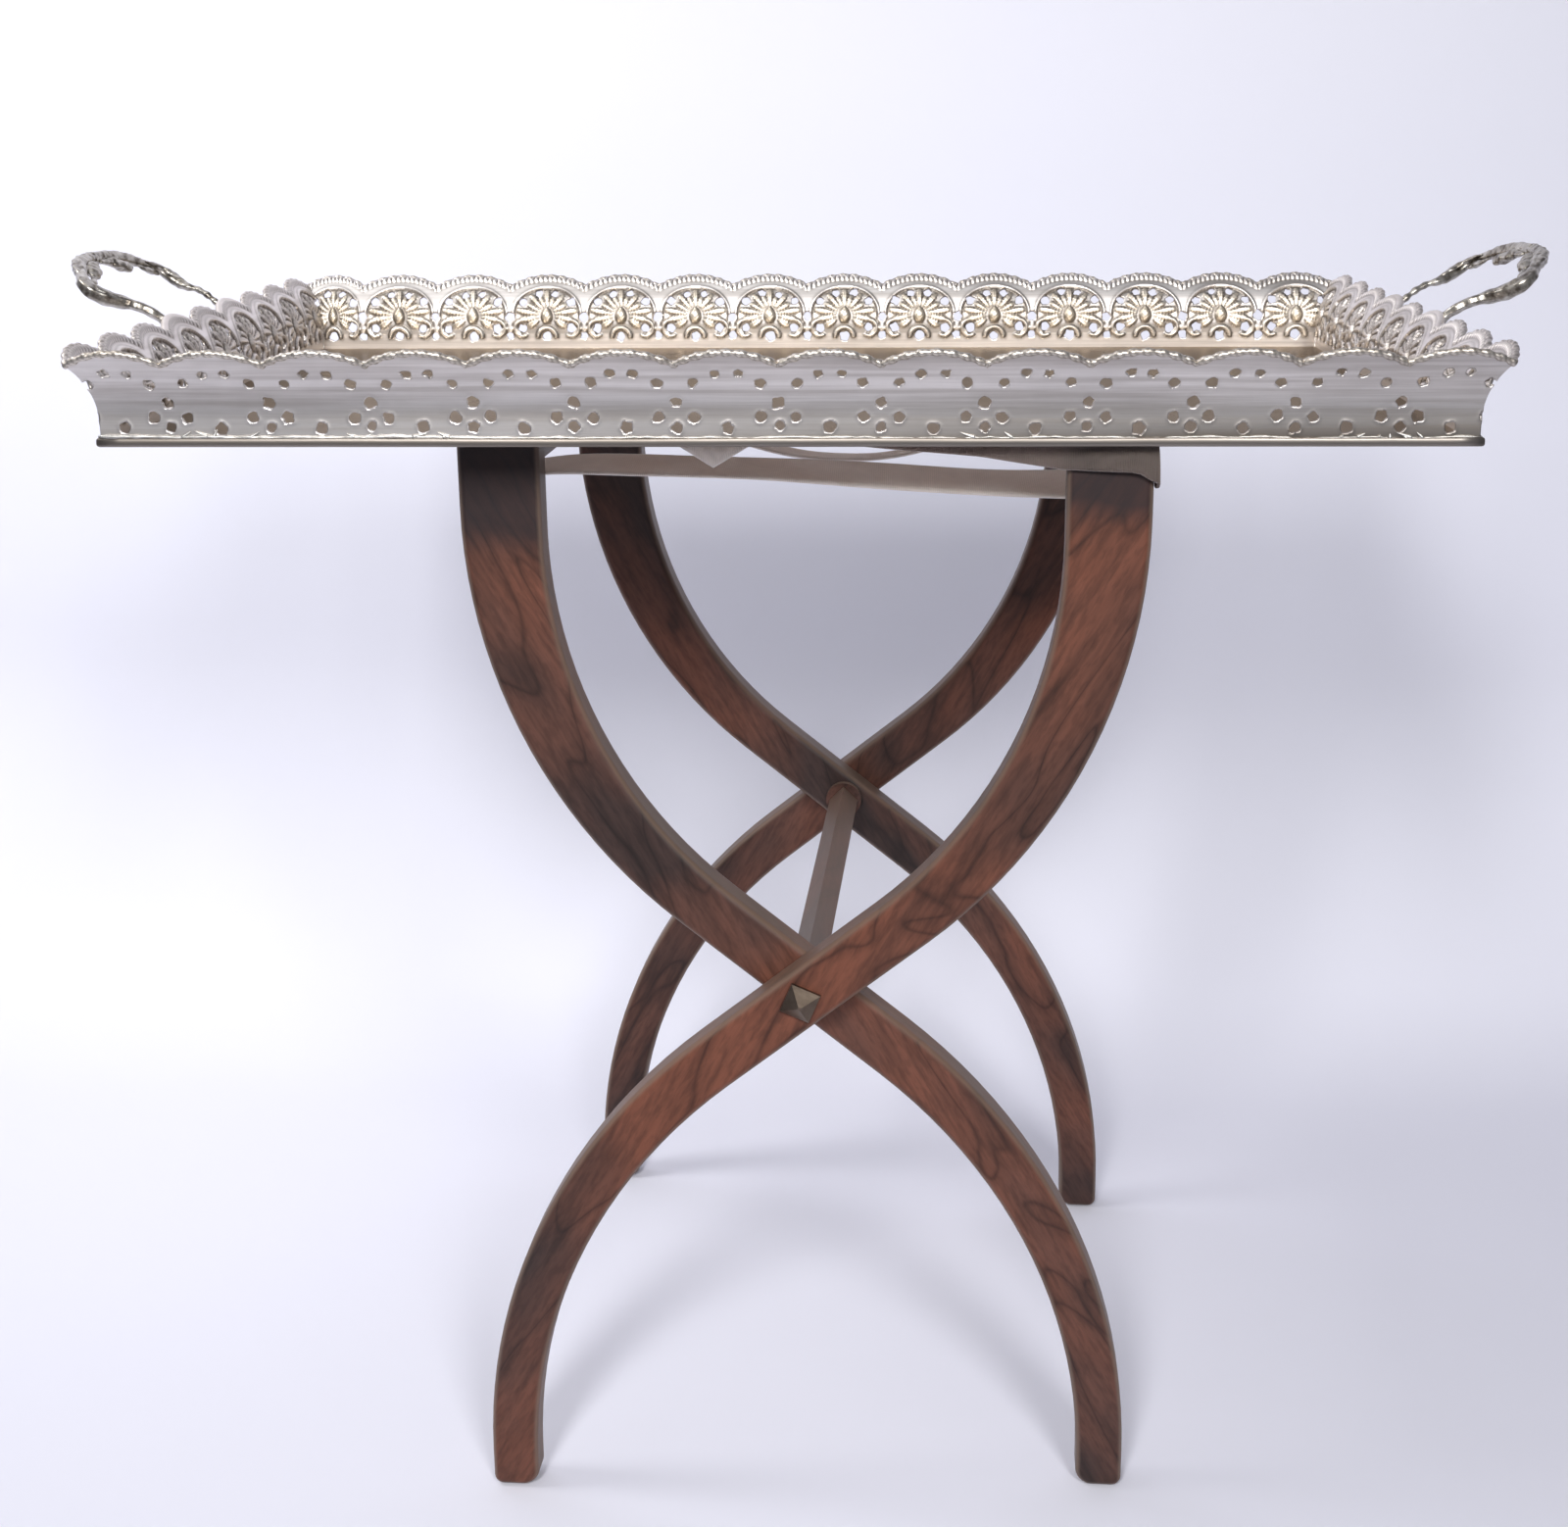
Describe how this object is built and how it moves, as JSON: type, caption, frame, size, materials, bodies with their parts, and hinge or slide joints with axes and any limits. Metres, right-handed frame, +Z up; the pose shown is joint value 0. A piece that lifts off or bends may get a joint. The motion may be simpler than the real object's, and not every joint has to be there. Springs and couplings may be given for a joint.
{
  "type": "butlers tray table",
  "caption": "Silver-plated butler's tray with a pierced, scalloped gallery and cast loop handles, carried on webbing across a folding stand of crossed S-curved wooden legs.",
  "frame": {"origin": "on the floor under the middle of the table", "axes": "+X to the right along the tray's long side, +Y to the back across the tray, +Z up; the stand's pivot axis is turned 2.4 degrees from +Y towards +X"},
  "size_m": [0.8032, 0.4384, 0.6551],
  "materials": {
    "rosewood": "waxed dark rosewood with dark streaks and worn edges",
    "iron": "dark, slightly worn",
    "aged_brass": "aged, bright on its facets",
    "webbing": "taupe woven linen webbing",
    "silver_plate": "silver plate over brass, polished, warm where the plate has worn"
  },
  "bodies": {
    "outer_frame": {"outer_leg_front": "rosewood", "outer_leg_rear": "rosewood", "outer_top_rail": "rosewood", "outer_tacks": "iron"},
    "inner_frame": {"inner_leg_front": "rosewood", "inner_leg_rear": "rosewood", "inner_top_rail": "rosewood", "stretcher": "rosewood", "stretcher_collar_front": "rosewood", "stretcher_collar_rear": "rosewood", "pivot_pin_front": "iron", "pivot_pin_rear": "iron", "pivot_washer_front": "iron", "pivot_washer_rear": "iron", "pivot_boss_front": "aged_brass", "pivot_boss_rear": "aged_brass", "inner_tacks": "iron"},
    "webbing": {"front_strap": "webbing", "top_strap": "webbing", "rear_strap": "webbing"},
    "tray": {"tray_base": "silver_plate", "gallery_front": "silver_plate", "gallery_rear": "silver_plate", "gallery_left": "silver_plate", "gallery_right": "silver_plate", "handle_left": "silver_plate", "handle_right": "silver_plate"}
  },
  "joints": [
    {"name": "stand_fold", "type": "hinge", "parent": "outer_frame", "child": "inner_frame", "pos_m": [0.013, 0, 0.293], "axis": [0.0419, 0.9991, 0], "range_deg": [0, 50], "deforming": ["front_strap", "top_strap", "rear_strap"]},
    {"name": "webbing_rise", "type": "slide", "parent": "outer_frame", "child": "webbing", "axis": [0, 0, 1], "range_m": [0, 0.152]},
    {"name": "tray_lift", "type": "slide", "parent": "webbing", "child": "tray", "axis": [0, 0, 1], "range_m": [0, 0.12]}
  ],
  "couplings": [
    {"joint": "webbing_rise", "follows": "stand_fold", "m_per_rad": 0.172}
  ]
}
